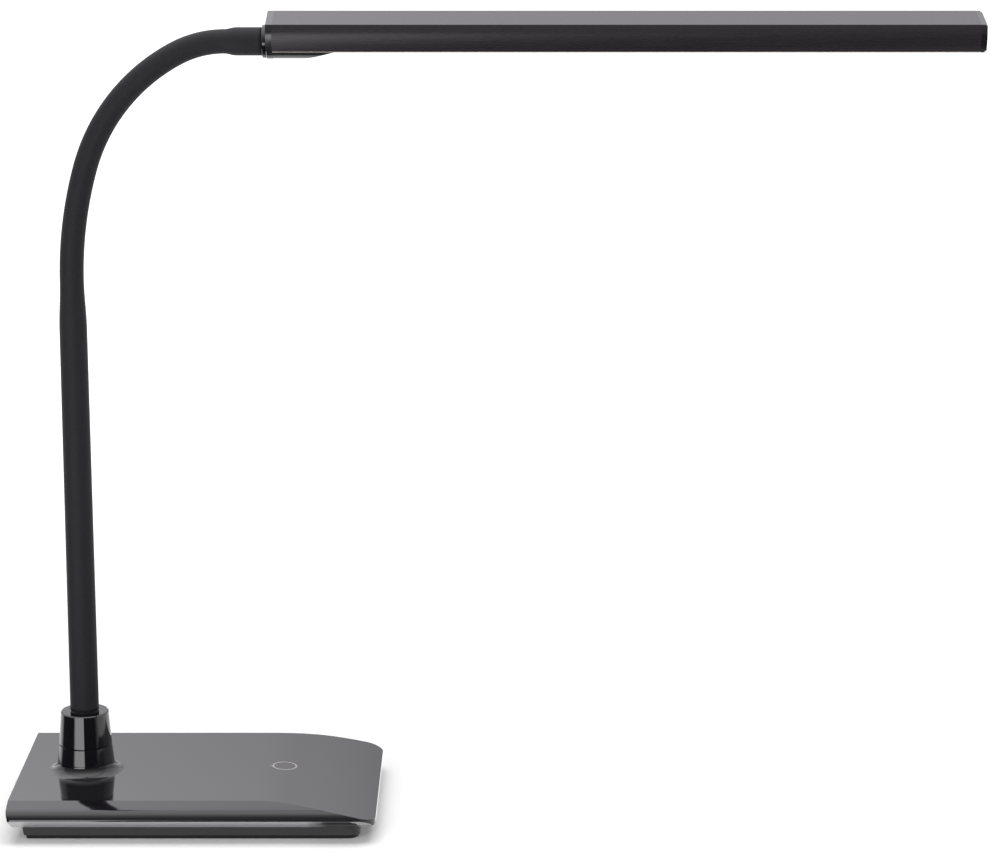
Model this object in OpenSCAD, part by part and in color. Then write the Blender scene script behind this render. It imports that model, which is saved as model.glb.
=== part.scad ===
// Gooseneck desk lamp: a weighted gloss base with a touch dimmer, a steel gooseneck in rubber
// sleeves, and a slim aluminium light bar that rolls on the end of the neck.
// The origin is the centre of the non-slip pad's underside, on the desk. +X runs from the neck
// towards the far end of the light bar, +Y to the back, +Z up. The neck's steel core and its
// sleeves are cut into links with ball ends, which stand in for a hose that bends anywhere.

/* [Base] */
// Length of the base along X
base_len = 180; // [160:1:240]
// Depth of the base along Y
base_depth = 118; // [104:1:150]
// Height of the flat top above the desk
base_h = 18.8; // [18:0.1:24]
// Wall of the shell and of the tray
base_wall = 2.2; // [1.6:0.1:2.6]
// Height of the line where shell and tray meet
parting_h = 8.6; // [8:0.1:9.4]
// Distance from the crease of the top to the base's front edge
crease_inset = 10.4; // [8.5:0.1:13]
// Radius of the rolled front edge
roll_r = 5.3; // [5.3:0.1:6]
// Radius of the rolled back edge
back_roll_r = 2.5; // [1.5:0.1:4]
// Slope of the top just outside the crease
crease_slope = 12; // [8:1:18]
// Slope where the broad arc of the edge meets the small one
join_slope = 24; // [21:1:32]
// Length of the drooping right end
droop_len = 60; // [44:1:64]
// How far the right end droops
droop_drop = 7.6; // [5:0.1:8]
// Corner radius of the shell at the drooping end, seen from above
shell_corner_r = 9; // [4:0.5:12]
// Corner radius of the shell at the neck's end, seen from above
left_corner_r = 2.4; // [1:0.1:4]
// Height of the plinth, with the pad
plinth_h = 6.4; // [6:0.1:7]
// Set-back of the plinth from the base's outer edge
plinth_inset = 6.9; // [5:0.1:10]
// Corner radius of the plinth at the drooping end
plinth_corner_r = 7; // [4:0.5:12]
// Corner radius of the plinth at the neck's end
plinth_left_r = 1.6; // [1:0.1:6]
// How far the left end is tucked in at its lower edge
end_tuck = 2; // [0.5:0.1:3]
// Thickness of the tray's floor
floor_t = 2; // [1.6:0.1:2.4]
// Thickness of the non-slip pad
pad_t = 1.8; // [1.2:0.1:2.2]
// How far the plinth's sides lean in towards the pad
plinth_draft = 1; // [0.4:0.1:1.2]
// Set-back of the pad from the plinth's upper edge
pad_inset = 1.6; // [1.3:0.1:3]
// Thickness of the steel ballast plate
ballast_t = 4.5; // [3:0.1:4.8]

/* [Boss and collar] */
// Distance from the base's left end to the neck's axis
neck_inset = 32.4; // [30:0.1:50]
// Height of the boss above the top
boss_h = 13.8; // [12:0.1:18]
// Radius of the boss at the seam under the collar
boss_r = 13.2; // [12:0.1:16]
// How much wider the boss is where its flare starts
boss_spread = 0.9; // [0.2:0.1:2]
// Radius of the flare between boss and top
flare_r = 5.4; // [4:0.1:9]
// Height of the collar
collar_h = 17; // [14:0.1:24]
// Radius of the collar's top edge
collar_top_r = 12; // [10:0.1:13]
// Width of the groove at the seam
seam_w = 0.4; // [0.2:0.1:0.8]
// Radius of the root ferrule
ferrule_r = 6.4; // [6:0.1:6.8]
// Height of the ferrule's rim on top of the collar
ferrule_show = 0.8; // [0.4:0.1:4]

/* [Neck] */
// Radius of the slim jacket on the neck
neck_r = 5.85; // [5.6:0.05:6.4]
// Radius of the lower sleeve where it leaves the ferrule
sleeve_low_r = 7.15; // [6.8:0.05:7.6]
// Radius of the lower sleeve near its upper end
sleeve_high_r = 6.72; // [6.5:0.05:7.2]
// Radius of the sleeve at the head
end_sleeve_r = 6.78; // [6.5:0.05:7.2]
// Radius of the steel core
core_r = 4.7; // [4.2:0.05:4.8]
// Radius of the bore for the lead
lead_bore_r = 2.6; // [2.2:0.05:2.8]
// Height of the lowest pivot
first_pivot_h = 80; // [72:1:90]
// Height where the neck starts to bend
bend_start_h = 267.8; // [240:0.1:300]
// Length of the lower sleeve's tapered end
shoulder_len = 23.8; // [15:0.1:30]
// Radius of the first, gentle bend
bend_a_r = 197.4; // [160:0.1:240]
// Angle of the first bend
bend_a_angle = 16.5; // [14:0.1:20]
// Radius of the second bend
bend_b_r = 91.3; // [80:0.1:120]
// Angle of the second bend
bend_b_angle = 45.7; // [40:0.1:50]
// Radius of the third bend
bend_c_r = 50.2; // [45:0.1:70]
// Angle of the third bend
bend_c_angle = 27.8; // [24:0.1:32]
// Length of the straight end at the head
neck_end_len = 18.2; // [16:0.1:26]
// Largest tilt of a link in the straight part
lower_tilt = 12; // [8:1:14]
// Largest tilt of a link in the bends
upper_tilt = 18; // [14:1:20]

/* [Head] */
// Length of the aluminium profile
bar_len = 337; // [240:0.5:420]
// Height of the bar's top above the neck's axis
bar_top = 11.9; // [11:0.1:14]
// Distance of the bar's lower edge below the neck's axis
bar_low = 0.9; // [0.4:0.1:1.2]
// Half the width of the bar at its widest
bar_half_w = 12.6; // [12:0.1:15]
// Height of the widest place above the neck's axis
bar_wide_h = 3; // [2:0.1:5]
// Radius of the bar's bulging sides
bar_side_r = 19.1; // [16:0.1:30]
// Wall of the profile
bar_wall = 1.4; // [1.2:0.1:1.8]
// Thickness of the left end cap
carrier_t = 3; // [2.6:0.1:4]
// Thickness of the right end cap
cap_t = 2; // [1.8:0.1:3]
// Height of the right cap's crown
cap_crown = 0.9; // [0.6:0.05:1.2]
// Turn of the bar about the neck's end, front edge down
bar_roll = 13.3; // [0:0.1:30]
// Radius of the ring between neck and head
ring_r = 8; // [7.6:0.1:9]
// Thickness of the ring
ring_t = 1.9; // [1.2:0.1:2.5]
// Gap between ring and carrier
ring_gap = 0.3; // [0.3:0.1:0.8]
// Radius of the carrier's bracket
bracket_r = 8.2; // [7.6:0.1:8.6]
// Straight length of the bracket under the bar
bracket_flat = 18.5; // [18:0.1:24]
// Length of the bracket's tapered end
bracket_taper = 19; // [12:0.5:30]
// How far the diffuser stands out under the bar
diffuser_proud = 1; // [0.5:0.1:1.5]
// Pitch of the LEDs
led_pitch = 8.5; // [6:0.1:12]

/* [Hidden] */
$fn = 96;

// Clearances: a joint between bodies, a seat within one body; a cut's overshoot, a joint's lap
joint_gap = 0.3;
running_gap = 0.05;
cut = 1;
lap = 0.5;

// Base: the long edges roll from the crease along a broad arc into a small one
half_len = base_len / 2;
half_depth = base_depth / 2;
crease_y = half_depth - crease_inset;
nose_centre_y = half_depth - roll_r;
join_y = nose_centre_y + roll_r * sin(join_slope);
broad_r = (join_y - crease_y) / (sin(join_slope) - sin(crease_slope));
broad_centre = [crease_y - broad_r * sin(crease_slope), base_h - broad_r * cos(crease_slope)];
nose_z = broad_centre.y + (broad_r - roll_r) * cos(join_slope);
droop_x = half_len - droop_len;
droop_r = (pow(droop_len, 2) + pow(droop_drop, 2)) / (2 * droop_drop);
plinth_x = half_len - plinth_inset;
plinth_y = half_depth - plinth_inset;
floor_h = pad_t + floor_t;
under_slope = (nose_z - plinth_h) / plinth_inset;
back_lift = 0.15;
tuck_rise = 3;

// Screw posts of the base
post_r = 3.2;
post_inset = [14, 24];
post_edge = 19;
post_y = half_depth - post_edge;
posts = [for (x = [-half_len + post_inset[0], half_len - post_inset[1]], y = [-post_y, post_y]) [x, y]];
post_foot_h = floor_h + 1.8;
screw_r = 1.5;
screw_hole_r = 1.7;
screw_head_r = 2.8;
screw_head_t = 1.6;
pilot_r = 1.5;
screw_top_h = post_foot_h + 5;

// Electronics of the base
ballast_back = 23;
board_t = 1.6;
board_size = [38, 32];
touch_inset = 48;
touch_pos = [half_len - touch_inset, 5];
board_pos = [touch_pos.x - 1, 0];
board_z = 11.4;
board_post_r = 2.5;
board_screw_r = 1;
board_screw_head_r = 2;
board_screw_head_t = 1.4;
board_posts = [[-15, 12], [15, -12]];
choke_pos = [9, 6];
choke_r = 4;
choke_h = 2.6;
capacitor_pos = [-3, 10];
capacitor_r = 2.5;
capacitor_h = 2.4;
electrode_r = 5.5;
lead_r = 1.6;
lead_z = 10.5;
inlet_lead_r = 1.5;
jack_y = 14;
jack_nose_r = 4;
jack_box = [12, 9, 8];
jack_z = base_h - base_wall - jack_box.z / 2 - 0.2;
jack_bore_r = 3.15;
jack_bore_len = 9;
jack_pin_r = 1;
jack_recess = 1.4;
jack_front_x = -half_len + jack_recess;
jack_box_x = -half_len + base_wall + end_tuck;

// Boss, collar and ferrule
neck_x = -half_len + neck_inset;
boss_top = base_h + boss_h;
collar_top = boss_top + collar_h;
ferrule_top = collar_top + ferrule_show;
ferrule_low = base_h + 1.2;
ferrule_bore_r = ferrule_r + running_gap;
flange_r = ferrule_r + 2.2;
flange_t = 2.4;
rim_r = sleeve_low_r - 0.3;
nut_room_r = 9.8;
web_t = 5;
nut_room_top = boss_top - web_t;
washer_t = 1;
washer_r = nut_room_r - 0.6;
nut_t = 4.5;
nut_flats = 15;
core_seat_h = boss_top + 1.4;

// Neck: links as [radius, angle, length], a radius of 0 for a straight one
lower_links = 4;
bend_links = [2, 3, 1];
bends = [[bend_a_r, bend_a_angle], [bend_b_r, bend_b_angle], [bend_c_r, bend_c_angle]];
bend_first = [
  lower_links + 1, lower_links + 1 + bend_links[0], lower_links + 1 + bend_links[0] + bend_links[1]
];
lower_link_len = (bend_start_h - first_pivot_h) / lower_links;
links = concat(
  [[0, 0, 0]],
  [for (i = [1 : lower_links]) [0, 0, lower_link_len]],
  [for (b = [0 : 2], i = [1 : bend_links[b]]) [bends[b][0], bends[b][1] / bend_links[b], 0]],
  [[0, 0, neck_end_len]]
);
last_link = len(links) - 1;
sleeve_gap = 0.05;
ball_step = 0.4;
dome_low = 0.4;
dome_step = 0.1;
sleeve_back = dome_low + 0.05;
end_taper = 4.6;
shoulder_start_h = bend_start_h - shoulder_len;

// Head: the carrier, the bar and what it holds, measured along the neck's end axis
carrier_x = ring_t + ring_gap;
bar_x = carrier_x + carrier_t;
bar_end_x = bar_x + bar_len;
side_centre_y = bar_side_r - bar_half_w;
journal_r = 4;
journal_len = 16.2;
top_ferrule_back = 10;
hub_r = 5.4;
hub_end_x = 12;
wash_t = 1;
ring_nut_t = 3;
ring_nut_r = 5.6;
pocket_r = ring_nut_r + 0.4;
pocket_end_x = hub_end_x + wash_t + ring_nut_t + 1;
notch_half_w = pocket_r + joint_gap;
web_low = bar_top - bar_wall - 0.2;
led_board_t = 1.1;
led_board_half_w = 8.4;
led_board_inset = 16;
led_board_x = bar_x + led_board_inset;
ledge_t = 0.8;
ledge_y = 7.2;
port_pos = [bar_half_w - 3.4, 5.6];
port_r = 2.1;
port_bore_r = 1.25;
cap_screw_head_r = 2.2;
cap_screw_head_t = 1.3;
cap_screw_len = 9;
plug_half_w = port_pos.x - port_r - 0.3;
plug_z = [2.6, 7.6];
lobe_step = 0.15;
crown_inset = 0.6;
plug_len = 8;
diffuser_t = 1.6;
rib_y = bar_half_w - 2.7;
rib_z = [diffuser_t - bar_low - diffuser_proud, diffuser_t - bar_low - diffuser_proud + 1];
diffuser_half_w = rib_y + 0.7;
diffuser_low = -bar_low - diffuser_proud;
led_size = [3.5, 2.8, 0.75];
led_ends = [10, 8];
led_start_x = led_board_x + led_ends[0];
led_count = floor((bar_end_x - led_start_x - led_ends[1]) / led_pitch);
lead_bend_r = 4.6;
lead_lap = 0.5;
lead_step = 0.05;
lead_rise_x = pocket_end_x + 0.5;
notch_x = lead_rise_x + lead_bend_r + lead_r + joint_gap;
groove_r = lead_r + 0.4;

gloss_black = [0.03, 0.03, 0.035];
satin_black = [0.1, 0.1, 0.105];
rubber_black = [0.05, 0.05, 0.052];
steel = [0.6, 0.6, 0.62];
anodised = [0.13, 0.13, 0.145];
board_green = [0.05, 0.3, 0.15];
milky = [0.86, 0.88, 0.86];

// ---------- base ----------

// Section across the base, t inside its outer surface, from height low upwards: at the front a
// broad arc and a small one, at the back a small arc, and under both the slope in to the plinth.
// It stands proud of the flat top, which under_top cuts
module base_section(t, low) {
  strip_low = broad_centre.x + (broad_r - t) * sin(crease_slope);
  strip_high = broad_centre.x + (broad_r - t) * sin(join_slope);
  reach = roll_r / 2;
  under_t = t / sin(atan(under_slope));
  back_centre = [half_depth - back_roll_r, base_h + back_lift - back_roll_r];
  difference() {
    union() {
      translate([-strip_low, low]) square([strip_low + back_centre.x, base_h + back_lift - low]);
      if (t == 0) intersection() {
        translate(back_centre) circle(back_roll_r);
        translate(back_centre - [lap, lap]) square(back_roll_r + 2 * lap);
      }
      translate([0, low]) square([half_depth - t, (t == 0 ? back_centre.y : base_h) - low]);
      mirror([1, 0]) {
        intersection() {
          translate(broad_centre) circle(broad_r - t);
          translate([strip_low - lap, low]) square([strip_high - strip_low + lap, base_h - low]);
        }
        intersection() {
          translate([nose_centre_y, nose_z]) circle(roll_r - t);
          translate([strip_high - lap, nose_z - lap]) square([roll_r + lap, base_h - nose_z + lap]);
        }
        translate([strip_high - lap, low])
          square([nose_centre_y + roll_r - t - strip_high + lap, nose_z - low]);
      }
    }
    for (side = [0, 1]) mirror([side, 0]) polygon([
      [half_depth + reach - under_t, nose_z + reach * under_slope],
      [plinth_y - reach - under_t, plinth_h - reach * under_slope],
      [half_depth + reach, plinth_h - reach * under_slope]
    ]);
  }
}

// Space under the drooping top, t inside it
module under_top(t) {
  rotate([90, 0, 0]) linear_extrude(2 * base_depth, center = true) {
    translate([-base_len, 0]) square([base_len + droop_x, base_h - t]);
    intersection() {
      translate([droop_x, base_h - droop_r]) circle(droop_r - t);
      translate([droop_x - lap, 0]) square([droop_len + lap + cut, base_h]);
    }
  }
}

// Space right of the tucked left end, t inside it
module inside_end(t) {
  rotate([90, 0, 0]) linear_extrude(2 * base_depth, center = true) polygon([
    [-half_len + end_tuck + t, 0], [-half_len + end_tuck + t, plinth_h],
    [-half_len + t, nose_z + tuck_rise], [-half_len + t, base_h + cut],
    [base_len, base_h + cut], [base_len, 0]
  ]);
}

// Rectangle about the origin with rounded corners, one radius for each end
module rounded_plan(hx, hy, r_left, r_right) {
  translate([-hx + r_left, -hy]) square([2 * hx - r_left - r_right, 2 * hy]);
  translate([-hx, -hy + r_left]) square([r_left, 2 * (hy - r_left)]);
  translate([hx - r_right, -hy + r_right]) square([r_right, 2 * (hy - r_right)]);
  for (side = [-1, 1]) {
    translate([-hx + r_left, side * (hy - r_left)]) circle(r_left);
    translate([hx - r_right, side * (hy - r_right)]) circle(r_right);
  }
}

module slab(low, high) {
  translate([0, 0, low]) linear_extrude(high - low) children();
}

module plinth_plan(inset) {
  rounded_plan(plinth_x - inset, plinth_y - inset, plinth_left_r, plinth_corner_r - inset);
}

// Height of the base's top at a place along X
function top_z(x) = x < droop_x ? base_h
  : base_h - droop_r + sqrt(pow(droop_r, 2) - pow(x - droop_x, 2));

module shell_outside() {
  intersection() {
    translate([-half_len, 0, 0]) rotate([90, 0, 90]) linear_extrude(base_len) base_section(0, parting_h);
    under_top(0);
    inside_end(0);
    slab(0, base_h + cut) rounded_plan(half_len, half_depth, left_corner_r, shell_corner_r);
  }
}

module shell_inside() {
  intersection() {
    translate([-half_len, 0, 0])
      rotate([90, 0, 90]) linear_extrude(base_len) base_section(base_wall, parting_h - cut);
    under_top(base_wall);
    inside_end(base_wall);
    slab(0, base_h) rounded_plan(half_len - base_wall, half_depth - base_wall,
      left_corner_r, shell_corner_r - base_wall);
  }
}

// Boss with a small cone, and a flare that meets the top at a slight angle
module boss_profile() {
  foot = 0.05;
  flare_x = boss_r + boss_spread;
  square([boss_r - seam_w, boss_h]);
  polygon([[0, 0], [flare_x, 0], [flare_x, flare_r], [boss_r, boss_h - seam_w], [0, boss_h - seam_w]]);
  difference() {
    translate([0, -base_wall / 2]) square([flare_x + flare_r, base_wall / 2 + flare_r - foot]);
    translate([flare_x + flare_r, flare_r - foot]) circle(flare_r);
  }
}

module jack_hole() {
  translate([-half_len - cut, jack_y, jack_z])
    rotate([0, 90, 0]) cylinder(r = jack_nose_r + 0.1, h = base_wall + end_tuck + 2 * cut);
}

module base_shell() {
  color(gloss_black) difference() {
    union() {
      difference() {
        shell_outside();
        shell_inside();
      }
      translate([neck_x, 0, base_h]) rotate_extrude() boss_profile();
      for (p = posts) translate([p.x, p.y, post_foot_h])
        cylinder(r = post_r, h = top_z(p.x) - base_wall / 2 - post_foot_h);
      for (p = board_posts) translate([board_pos.x + p.x, p.y, board_z + board_t])
        cylinder(r = board_post_r, h = top_z(board_pos.x + p.x) - base_wall / 2 - board_z - board_t);
    }
    translate([neck_x, 0, base_h - base_wall - cut])
      cylinder(r = nut_room_r, h = nut_room_top - base_h + base_wall + cut);
    translate([neck_x, 0, nut_room_top - cut]) cylinder(r = ferrule_bore_r, h = web_t + 2 * cut);
    for (p = posts) translate([p.x, p.y, post_foot_h - cut])
      cylinder(r = pilot_r, h = screw_top_h - post_foot_h + 1.5 * cut);
    for (p = board_posts) translate([board_pos.x + p.x, p.y, board_z])
      cylinder(r = board_screw_r, h = board_t + 2.5);
    jack_hole();
  }
}

// Section across the tray: the leaning sides and the flange that slopes out to the parting line
module tray_section() {
  edge_y = plinth_y + (parting_h - plinth_h) / under_slope;
  foot_y = plinth_y - plinth_draft;
  polygon([
    [-foot_y, pad_t], [foot_y, pad_t], [plinth_y, plinth_h],
    [edge_y, parting_h], [-edge_y, parting_h], [-plinth_y, plinth_h]
  ]);
}

// Outside of the tray; at the right end the flange slopes out to the shell's edge
module tray_outside() {
  end_slope = (parting_h - plinth_h) / plinth_inset;
  intersection() {
    translate([-half_len, 0, 0]) rotate([90, 0, 90]) linear_extrude(base_len) tray_section();
    inside_end(0);
    union() {
      intersection() {
        slab(pad_t, plinth_h + cut / 2) plinth_plan(0);
        rotate([90, 0, 0]) linear_extrude(2 * base_depth, center = true) polygon([
          [-plinth_x + plinth_draft, pad_t - cut], [-plinth_x + plinth_draft, pad_t],
          [-plinth_x, plinth_h], [-plinth_x, base_h], [plinth_x, base_h], [plinth_x, plinth_h],
          [plinth_x - plinth_draft, pad_t], [plinth_x - plinth_draft, pad_t - cut]
        ]);
      }
      intersection() {
        slab(plinth_h, parting_h) rounded_plan(half_len, half_depth, left_corner_r, shell_corner_r);
        rotate([90, 0, 0]) linear_extrude(2 * base_depth, center = true) polygon([
          [-base_len, plinth_h - cut], [plinth_x - cut, plinth_h - cut],
          [plinth_x - cut, plinth_h - cut * end_slope], [half_len + cut, parting_h + cut * end_slope],
          [half_len + cut, base_h], [-base_len, base_h]
        ]);
      }
    }
  }
}

module base_tray() {
  color(satin_black) difference() {
    union() {
      difference() {
        tray_outside();
        slab(floor_h, base_h) plinth_plan(base_wall);
      }
      for (p = posts) translate([p.x, p.y, floor_h - floor_t / 2])
        cylinder(r = screw_head_r + 1.6, h = post_foot_h - floor_h + floor_t / 2);
      translate([jack_box_x + 4, jack_y - jack_box.y / 2, floor_h - floor_t / 2])
        cube([jack_box.x - 6, jack_box.y, jack_z - jack_box.z / 2 - floor_h + floor_t / 2]);
    }
    for (p = posts) {
      translate([p.x, p.y, pad_t - cut]) cylinder(r = screw_head_r + 0.3, h = screw_head_t + 0.2 + cut);
      translate([p.x, p.y, pad_t]) cylinder(r = screw_hole_r, h = post_foot_h);
    }
    jack_hole();
    translate([jack_box_x, jack_y - jack_box.y / 2, jack_z - jack_box.z / 2]) cube(jack_box);
  }
}

module non_slip_pad() {
  color(rubber_black) slab(0, pad_t) plinth_plan(pad_inset);
}

module ballast_plate() {
  margin = 2;
  color(steel) difference() {
    slab(floor_h, floor_h + ballast_t)
      rounded_plan(plinth_x - base_wall - margin, plinth_y - base_wall - margin, 5, 5);
    for (p = posts) translate([p.x, p.y, 0]) cylinder(r = screw_head_r + 2.6, h = base_h);
    translate([neck_x, 0, 0]) cylinder(r = nut_room_r, h = base_h);
    translate([-half_len, jack_y - jack_box.y / 2 - 1, 0])
      cube([jack_box_x + jack_box.x + half_len + 1, jack_box.y + 2, base_h]);
    translate([half_len - ballast_back, -half_depth, 0]) cube([base_len, base_depth, base_h]);
  }
}

module cover_screws() {
  color(steel) for (p = posts) translate([p.x, p.y, pad_t]) {
    translate([0, 0, 0.2]) cylinder(r = screw_head_r, h = screw_head_t);
    cylinder(r = screw_r - running_gap, h = screw_top_h - pad_t);
  }
}

module control_board() {
  color(board_green) difference() {
    translate([board_pos.x, 0, board_z + board_t / 2]) cube([board_size.x, board_size.y, board_t], center = true);
    for (p = board_posts) translate([board_pos.x + p.x, p.y, board_z - cut])
      cylinder(r = board_screw_r + 0.1, h = board_t + 2 * cut);
  }
}

module board_screws() {
  color(steel) for (p = board_posts) translate([board_pos.x + p.x, p.y, board_z]) {
    translate([0, 0, -board_screw_head_t]) cylinder(r = board_screw_head_r, h = board_screw_head_t);
    translate([0, 0, -board_screw_head_t])
      cylinder(r = board_screw_r - running_gap, h = board_screw_head_t + board_t + 2.2);
  }
}

// Choke, capacitor and two chips under the control board
module driver_parts() {
  color([0.12, 0.12, 0.13]) translate([board_pos.x, 0, board_z]) {
    translate([choke_pos.x, choke_pos.y, -choke_h]) cylinder(r = choke_r, h = choke_h);
    translate([capacitor_pos.x, capacitor_pos.y, -capacitor_h]) cylinder(r = capacitor_r, h = capacitor_h);
    translate([-8, -9, -1.5]) cube([8, 6, 1.5]);
    translate([4, -8, -1.2]) cube([5, 5, 1.2]);
  }
}

// Conductive foam between the board and the underside of the touch spot
module touch_electrode() {
  low = board_z + board_t;
  color([0.2, 0.2, 0.2]) translate([touch_pos.x, touch_pos.y, low])
    cylinder(r = electrode_r, h = top_z(touch_pos.x + electrode_r) - base_wall - low);
}

module inlet_jack() {
  color([0.07, 0.07, 0.07]) {
    difference() {
      union() {
        translate([jack_front_x, jack_y, jack_z]) rotate([0, 90, 0])
          cylinder(r = jack_nose_r, h = jack_box_x - jack_front_x + cut);
        translate([jack_box_x, jack_y - jack_box.y / 2, jack_z - jack_box.z / 2]) cube(jack_box);
      }
      translate([jack_front_x - cut, jack_y, jack_z])
        rotate([0, 90, 0]) cylinder(r = jack_bore_r, h = jack_bore_len + cut);
    }
    translate([jack_front_x + 1, jack_y, jack_z])
      rotate([0, 90, 0]) cylinder(r = jack_pin_r, h = jack_bore_len);
  }
}

module inlet_lead() {
  start_x = jack_box_x + jack_box.x;
  color("black") translate([start_x, jack_y, lead_z])
    rotate([0, 90, 0]) cylinder(r = inlet_lead_r, h = board_pos.x - board_size.x / 2 - start_x);
}

// ---------- boss, collar and ferrule ----------

module neck_collar() {
  room_r = flange_r + 0.2;
  edge = 0.5;
  color(gloss_black) translate([neck_x, 0, boss_top]) rotate_extrude() polygon([
    [room_r, 0], [boss_r - seam_w, 0], [boss_r, seam_w],
    [collar_top_r, collar_h - edge], [collar_top_r - edge, collar_h],
    [ferrule_bore_r, collar_h], [ferrule_bore_r, collar_h - 2.4], [room_r, collar_h - 4.4]
  ]);
}

module root_ferrule() {
  color([0.06, 0.06, 0.06]) translate([neck_x, 0, 0]) rotate_extrude() polygon([
    [lead_bore_r, ferrule_low], [ferrule_r, ferrule_low], [ferrule_r, boss_top],
    [flange_r, boss_top], [flange_r, boss_top + flange_t], [ferrule_r, boss_top + flange_t],
    [ferrule_r, collar_top], [rim_r, collar_top], [rim_r, ferrule_top],
    [core_r + sleeve_gap, ferrule_top],
    [core_r + sleeve_gap, core_seat_h], [lead_bore_r, core_seat_h]
  ]);
}

module root_washer() {
  color(steel) translate([neck_x, 0, nut_room_top - washer_t]) difference() {
    cylinder(r = washer_r, h = washer_t);
    translate([0, 0, -cut]) cylinder(r = ferrule_bore_r, h = washer_t + 2 * cut);
  }
}

module root_nut() {
  color(steel) translate([neck_x, 0, nut_room_top - washer_t - nut_t]) difference() {
    cylinder(r = nut_flats / 2 / cos(30), h = nut_t, $fn = 6);
    translate([0, 0, -cut]) cylinder(r = ferrule_bore_r, h = nut_t + 2 * cut);
  }
}

// ---------- neck ----------

// Pivot at the start of link k as [x, z, angle from upright]; the one past the last link is
// the neck's end
function pivot(k) = k <= 1 ? [neck_x, first_pivot_h, 0] : after(pivot(k - 1), links[k - 1]);
function after(p, link) = link[0] == 0
  ? [p[0] + link[2] * sin(p[2]), p[1] + link[2] * cos(p[2]), p[2]]
  : [
      p[0] + link[0] * (cos(p[2]) - cos(p[2] + link[1])),
      p[1] + link[0] * (sin(p[2] + link[1]) - sin(p[2])),
      p[2] + link[1]
    ];

// Radius of the lower sleeve at a height: a slight taper, then a soft shoulder down to the jacket
function lower_sleeve_r(z) = z <= shoulder_start_h
  ? sleeve_low_r + (sleeve_high_r - sleeve_low_r) * (z - ferrule_top) / (shoulder_start_h - ferrule_top)
  : neck_r + (sleeve_high_r - neck_r) * (1 + cos(180 * (z - shoulder_start_h) / shoulder_len)) / 2;

function sleeve_r_at(k) = k <= lower_links ? lower_sleeve_r(pivot(k)[1]) : neck_r;
function ball_r(k) = sleeve_r_at(k) - ball_step;
function tilt(k) = k <= lower_links + 1 ? lower_tilt : upper_tilt;
function lip(k) = sleeve_r_at(k) * tan(tilt(k)) + joint_gap;

module at_pivot(k) {
  p = pivot(k);
  translate([p[0], 0, p[1]]) rotate([0, p[2], 0]) children();
}

// A section swept from a link's pivot along its bend, from angle from to angle to
module along_bend(r, from, to) {
  translate([r, 0, 0]) rotate([0, from, 0]) rotate([90, 0, 180])
    rotate_extrude(angle = to - from) translate([r, 0]) children();
}

module ring_section(inner, outer) {
  difference() {
    circle(outer);
    circle(inner);
  }
}

// Ball end in section: a dome about the next pivot that starts just below the pivot's plane
module dome_section(r) {
  intersection() {
    circle(r);
    translate([lead_bore_r + dome_step, -dome_low]) square(2 * r);
  }
}

// Steel core of one link: a tube with a concave end at its pivot and a domed end at the next
module core_link(k) {
  link = links[k];
  socket_r = ball_r(k) + joint_gap;
  color(steel) at_pivot(k) {
    if (link[0] == 0) rotate_extrude() {
      difference() {
        translate([lead_bore_r, 0]) square([core_r - lead_bore_r, link[2]]);
        circle(socket_r);
      }
      translate([0, link[2]]) dome_section(ball_r(k + 1));
    }
    else {
      difference() {
        along_bend(link[0], 0, link[1]) ring_section(lead_bore_r, core_r);
        sphere(socket_r);
      }
      translate([link[0], 0, 0]) rotate([0, link[1], 0]) translate([-link[0], 0, 0])
        rotate_extrude() dome_section(ball_r(k + 1));
    }
  }
}

// Straight sleeve: outer points as [radius, height above the pivot]
module sleeve_tube(k, outer) {
  color(rubber_black) at_pivot(k) rotate_extrude() difference() {
    polygon(concat(
      [[core_r + sleeve_gap, outer[0].y]], outer,
      [[core_r + sleeve_gap, outer[len(outer) - 1].y]]
    ));
    circle(ball_r(k) + joint_gap);
  }
}

module lower_sleeve(k) {
  steps = 8;
  from = lip(k);
  to = lower_link_len - sleeve_back;
  z0 = pivot(k)[1];
  bend_z = max(shoulder_start_h - z0, from);
  heights = bend_z < to
    ? concat(bend_z > from ? [from] : [], [for (i = [0 : steps]) bend_z + (to - bend_z) * i / steps])
    : [from, to];
  sleeve_tube(k, [for (h = heights) [lower_sleeve_r(z0 + h), h]]);
}

module bend_sleeve(k) {
  link = links[k];
  color(rubber_black) at_pivot(k) difference() {
    along_bend(link[0], asin(lip(k) / link[0]), link[1] - asin(sleeve_back / link[0]))
      ring_section(core_r + sleeve_gap, neck_r);
    sphere(ball_r(k) + joint_gap);
  }
}

// Stub of core and sleeve that the root ferrule holds
module core_00() {
  color(steel) translate([neck_x, 0, 0]) rotate_extrude() {
    translate([lead_bore_r, core_seat_h]) square([core_r - lead_bore_r, first_pivot_h - core_seat_h]);
    translate([0, first_pivot_h]) dome_section(ball_r(1));
  }
}

module sleeve_00() {
  inner = core_r + sleeve_gap;
  color(rubber_black) translate([neck_x, 0, 0]) rotate_extrude() polygon([
    [inner, ferrule_top], [sleeve_low_r, ferrule_top],
    [lower_sleeve_r(first_pivot_h), first_pivot_h - sleeve_back], [inner, first_pivot_h - sleeve_back]
  ]);
}

// The last link: its core butts on the top ferrule, and its sleeve swells to the head's ring
module core_11() {
  color(steel) at_pivot(last_link) rotate_extrude() difference() {
    translate([lead_bore_r, 0]) square([core_r - lead_bore_r, neck_end_len - top_ferrule_back]);
    circle(ball_r(last_link) + joint_gap);
  }
}

module sleeve_11() {
  sleeve_tube(last_link, [
    [neck_r, lip(last_link)], [end_sleeve_r - 0.1, end_taper - 0.5],
    [end_sleeve_r, end_taper], [end_sleeve_r, neck_end_len]
  ]);
}

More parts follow.
